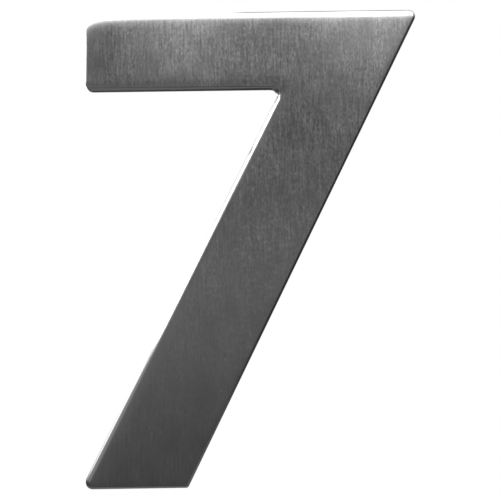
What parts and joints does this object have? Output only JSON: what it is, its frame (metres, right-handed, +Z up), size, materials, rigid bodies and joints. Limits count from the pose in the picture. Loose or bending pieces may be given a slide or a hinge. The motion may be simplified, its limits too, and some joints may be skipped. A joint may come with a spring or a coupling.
{
  "type": "house number",
  "caption": "House number, the digit seven, pressed as a shallow hollow-backed shell from brushed stainless sheet, with threaded weld studs that fix it to a wall or door.",
  "frame": {"origin": "on the wall plane, midway between the digit's leftmost and rightmost sharp corners and halfway up", "axes": "+Z up along the digit's height; +Y from the face towards the wall, so the front faces -Y; +X to the viewer's right"},
  "size_m": [0.107, 0.026, 0.15],
  "materials": {
    "brushed_sheet": "brushed upright, semi-gloss, edges smoother",
    "stud_steel": "plain turned and rolled, slightly duller at the weld"
  },
  "bodies": {
    "root": {"number_shell": "brushed_sheet", "stud_bar_end": "stud_steel", "stud_shoulder": "stud_steel", "stud_foot": "stud_steel"}
  },
  "joints": []
}
